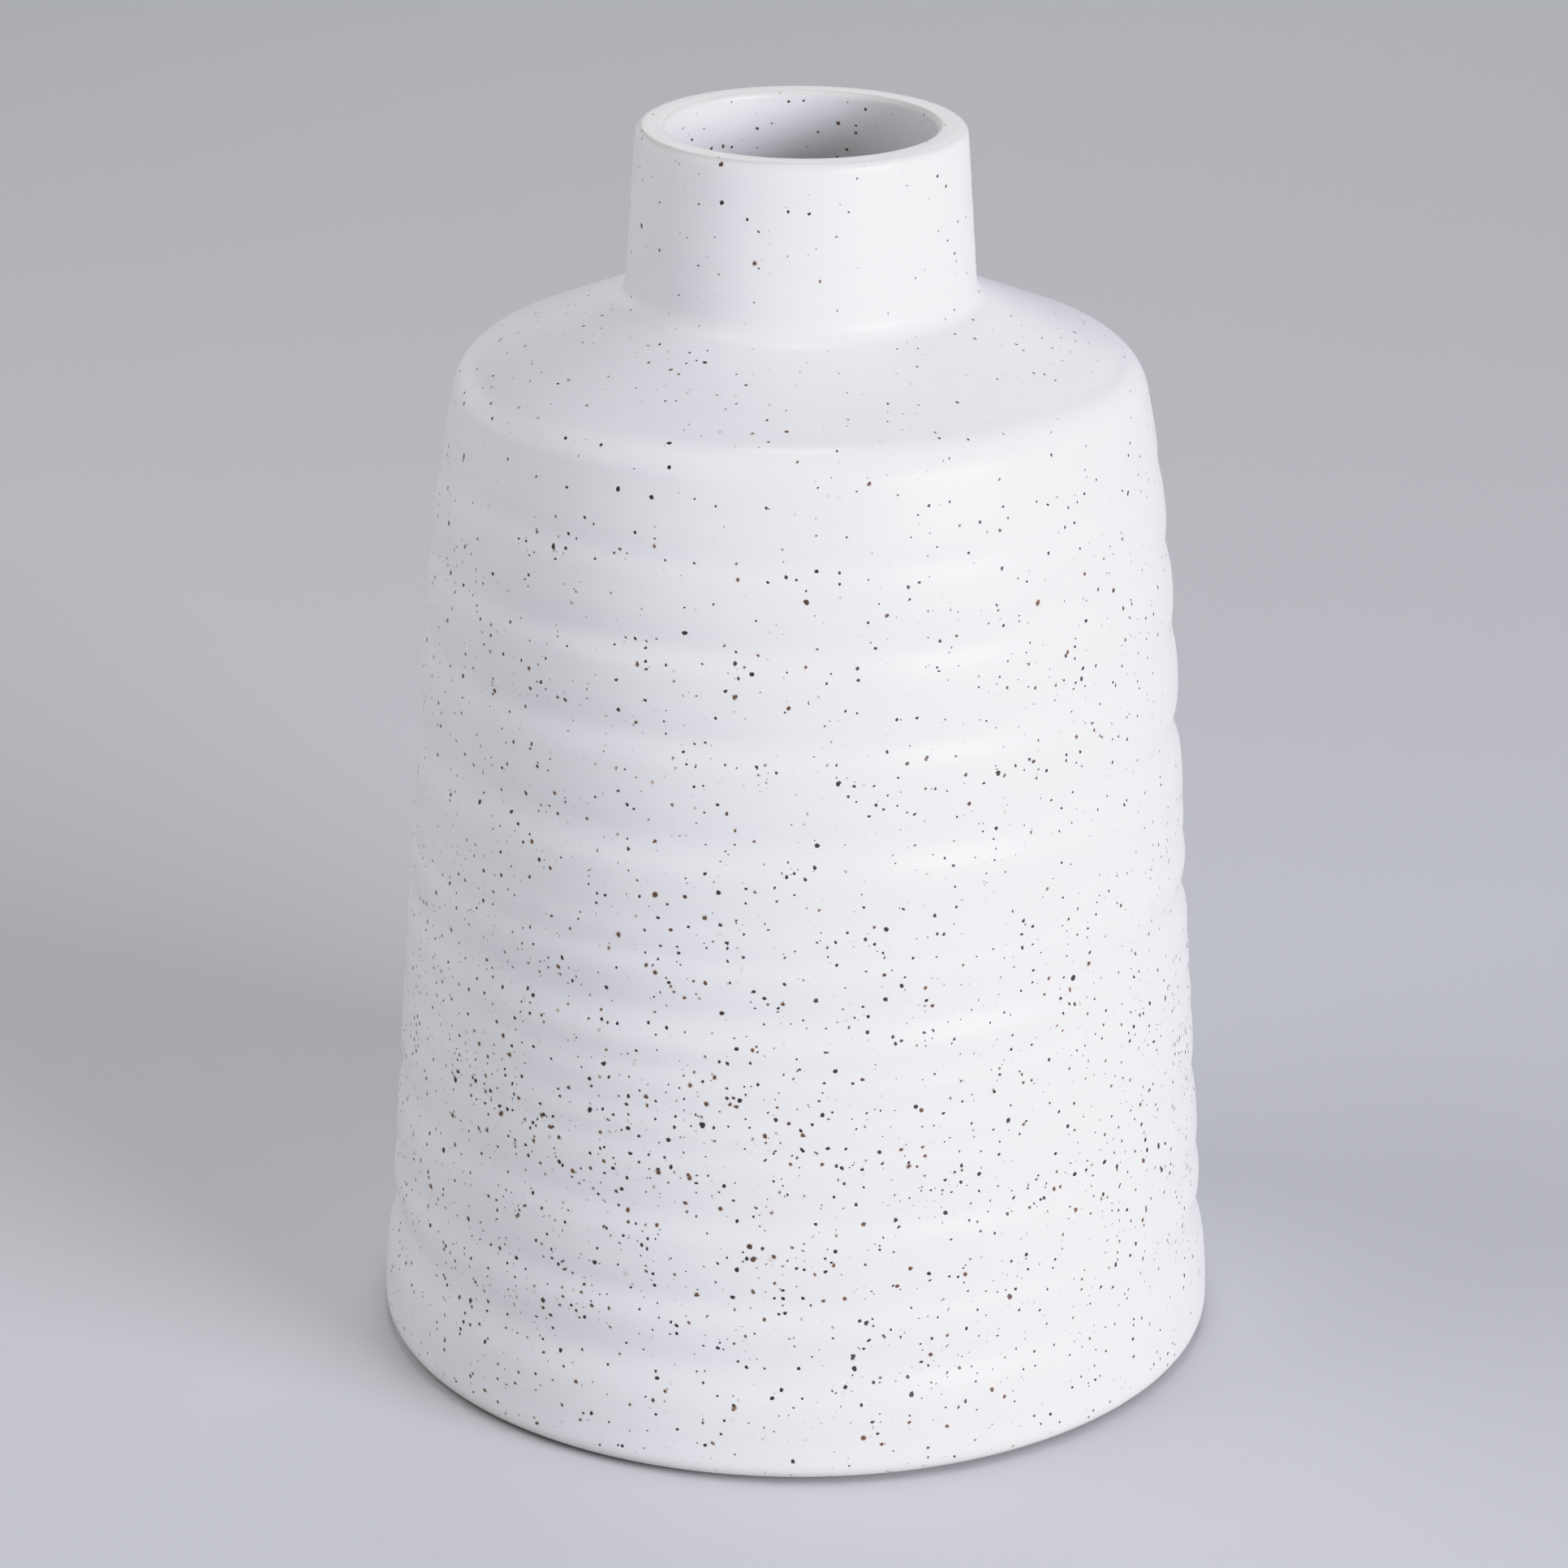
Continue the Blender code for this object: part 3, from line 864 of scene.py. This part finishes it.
def felt_pad(node, material, seed):
    """A pressed felt disc with a soft, slightly uneven edge."""
    low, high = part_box(node)
    centre = (low + high) / 2
    radius = (high.x - low.x) / 2
    line = spaced(
        rounded(
            [
                (0.0, low.z, 0.0),
                (radius, low.z, FELT_EDGE_ROUND * 0.7),
                (radius, high.z, FELT_EDGE_ROUND),
                (0.0, high.z, 0.0),
            ]
        ),
        FELT_STEP,
    )
    angles = np.linspace(0, 2 * math.pi, FELT_SEGMENTS, endpoint=False)
    edge = 0.5 * wave(angles, seed, 14) + 0.5 * wave(angles, seed + 50, 5)
    share = line[:, 0] / radius
    ring_radius = line[:, 0:1] - FELT_RAGGEDNESS * (share[:, None] ** 3) * (1 - edge[None])
    points = [(centre.x, centre.y, line[0][1])]
    for ring in range(1, len(line) - 1):
        for angle, r in zip(angles, ring_radius[ring]):
            points.append((centre.x + r * math.cos(angle), centre.y + r * math.sin(angle), line[ring][1]))
    points.append((centre.x, centre.y, line[-1][1]))
    rings = len(line) - 2
    last = len(points) - 1
    faces = []
    for j in range(FELT_SEGMENTS):
        k = (j + 1) % FELT_SEGMENTS
        faces.append((0, 1 + k, 1 + j))
        for ring in range(rings - 1):
            a = 1 + ring * FELT_SEGMENTS
            b = a + FELT_SEGMENTS
            faces.append((a + j, a + k, b + k, b + j))
        top = 1 + (rings - 1) * FELT_SEGMENTS
        faces.append((top + j, top + k, last))
    return mesh_object(node.replace("felt_pad", "soft_felt_pad"), points, faces, material)


def build_vase():
    clay = Clay()
    at = {
        **clay.places,
        "start": 0,
        "after_neck": clay.places["neck"] + 1,
        "end": len(clay.points) - 1,
    }
    glaze = glaze_material("speckled_glaze")
    foot_glaze = glaze_material("speckled_glaze_and_bare_foot", bare_foot=True)
    # Each piece: its name, its node, and its runs of rings outside and inside.
    plan = (
        ("foot_and_floor", "floor_disc", ("start", "foot"), ("inside_lower", "end")),
        ("wall_lower_band", "body_wall", ("foot", "wall_lower"), ("inside_middle", "inside_lower")),
        ("wall_middle_band", "body_wall", ("wall_lower", "wall_middle"), ("inside_upper", "inside_middle")),
        ("wall_upper_band", "body_wall", ("wall_middle", "wall_upper"), ("inside_shoulder", "inside_upper")),
        ("shoulder_dome", "shoulder", ("wall_upper", "shoulder"), ("bore", "inside_shoulder")),
        ("neck_and_lip", "neck_collar", ("shoulder", "neck"), ("after_neck", "bore")),
    )
    for name, node, outside, inside in plan:
        material = foot_glaze if node == "floor_disc" else glaze
        outside_rings = [at[place] for place in outside]
        inside_rings = [at[place] for place in inside]
        piece = clay_piece(name, clay, outside_rings, inside_rings, material)
        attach(piece, "root")
        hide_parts(node)
    felt = felt_material()
    pads = sorted(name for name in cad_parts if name.startswith("felt_pad"))
    for number, node in enumerate(pads):
        pad = felt_pad(node, felt, 900 + number)
        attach(pad, "root")
        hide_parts(node)


def build_stage():
    """A pale floor that curves up into a low wall all round."""
    material, tree, shader = new_material("pale_floor")
    place = add(tree, "ShaderNodeTexCoord").outputs["Object"]
    cloud = add(tree, "ShaderNodeTexNoise", {"Vector": place, "Scale": 1.5, "Detail": 2.0}).outputs[0]
    shade = calc(tree, "MULTIPLY_ADD", cloud, 0.03, 0.985)
    colour = blend(tree, 1.0, FLOOR_COLOUR, grey(tree, shade), "MULTIPLY")
    tree.links.new(colour, shader.inputs["Base Color"])
    shader.inputs["Roughness"].default_value = 0.85
    shader.inputs["Specular IOR Level"].default_value = 0.2
    shader.inputs["Emission Color"].default_value = GLOW_COLOUR
    away = add(tree, "ShaderNodeVectorMath", {0: place}, operation="LENGTH").outputs["Value"]
    glow = ease(tree, away, GLOW_START, STAGE_RADIUS, BACKDROP_GLOW)
    tree.links.new(glow, shader.inputs["Emission Strength"])
    corners = [(0.0, 0.0, 0.0), (STAGE_RADIUS, 0.0, STAGE_ROUND), (STAGE_RADIUS, STAGE_HEIGHT, 0.0)]
    profile = spaced(rounded(corners), STAGE_STEP)
    points, faces = [(0.0, 0.0, 0.0)], []
    for r, z in profile[1:]:
        for j in range(STAGE_SIDES):
            angle = 2 * math.pi * j / STAGE_SIDES
            points.append((r * math.cos(angle), r * math.sin(angle), z))
    for j in range(STAGE_SIDES):
        k = (j + 1) % STAGE_SIDES
        faces.append((0, 1 + j, 1 + k))
        for ring in range(len(profile) - 2):
            a = 1 + ring * STAGE_SIDES
            b = a + STAGE_SIDES
            faces.append((a + j, b + j, b + k, a + k))
    floor = mesh_object("studio_floor", points, faces, material)


def add_area_light(name, azimuth, elevation, distance, size, watts, colour):
    """A soft rectangular light that points at the vase and is not seen itself."""
    azimuth, elevation = math.radians(azimuth), math.radians(elevation)
    aim = Vector(LIGHT_AIM)
    way = Vector(
        (
            math.sin(azimuth) * math.cos(elevation),
            -math.cos(azimuth) * math.cos(elevation),
            math.sin(elevation),
        )
    )
    data = bpy.data.lights.new(name, "AREA")
    data.shape = "RECTANGLE"
    data.size, data.size_y = size
    data.energy = watts
    data.color = colour
    lamp = bpy.data.objects.new(name, data)
    bpy.context.scene.collection.objects.link(lamp)
    lamp.location = aim + way * distance
    lamp.rotation_mode = "QUATERNION"
    lamp.rotation_quaternion = (-way).to_track_quat("-Z", "Y")
    lamp.visible_camera = False
    return lamp


def build_light():
    world = bpy.data.worlds.new("soft_room")
    world.use_nodes = True
    background = world.node_tree.nodes["Background"]
    background.inputs["Color"].default_value = WORLD_COLOUR
    background.inputs["Strength"].default_value = WORLD_STRENGTH
    bpy.context.scene.world = world
    for name, (azimuth, elevation, distance, size, watts, colour) in LIGHTS.items():
        lamp = add_area_light(name, azimuth, elevation, distance, size, watts, colour)
        lamp.visible_glossy = name not in LIGHTS_WITHOUT_REFLECTION


def build_camera():
    data = bpy.data.cameras.new("camera")
    data.lens = CAMERA_LENS_MM
    data.sensor_width = 36.0
    data.clip_start = 0.05
    data.clip_end = 40.0
    camera = bpy.data.objects.new("camera", data)
    bpy.context.scene.collection.objects.link(camera)
    turn = Matrix.Rotation(CAMERA_YAW, 3, "Z")
    forward = turn @ Vector((0.0, math.cos(CAMERA_PITCH), -math.sin(CAMERA_PITCH)))
    right = turn @ Vector((1.0, 0.0, 0.0))
    down = forward.cross(right)
    rolled_right = right * math.cos(CAMERA_ROLL) + down * math.sin(CAMERA_ROLL)
    rolled_down = down * math.cos(CAMERA_ROLL) - right * math.sin(CAMERA_ROLL)
    axes = Matrix((rolled_right, -rolled_down, -forward)).transposed()
    camera.matrix_world = Matrix.Translation(CAMERA_PLACE) @ axes.to_4x4()
    bpy.context.scene.camera = camera


def build_film():
    """A film-like roll-off in the highlights."""
    settings = bpy.context.scene.view_settings
    settings.view_transform = "Standard"
    settings.use_curve_mapping = True
    mapping = settings.curve_mapping
    mapping.white_level = (FILM_WHITE, FILM_WHITE, FILM_WHITE)
    curve = mapping.curves[3]
    curve.points[0].location = (0.0, 0.0)
    curve.points[-1].location = (1.0, FILM_ROLL_OFF[-1][1])
    for light, shown in FILM_ROLL_OFF[:-1]:
        curve.points.new(light / FILM_WHITE, shown)
    mapping.update()


build_camera()
build_vase()
build_stage()
build_light()
build_film()
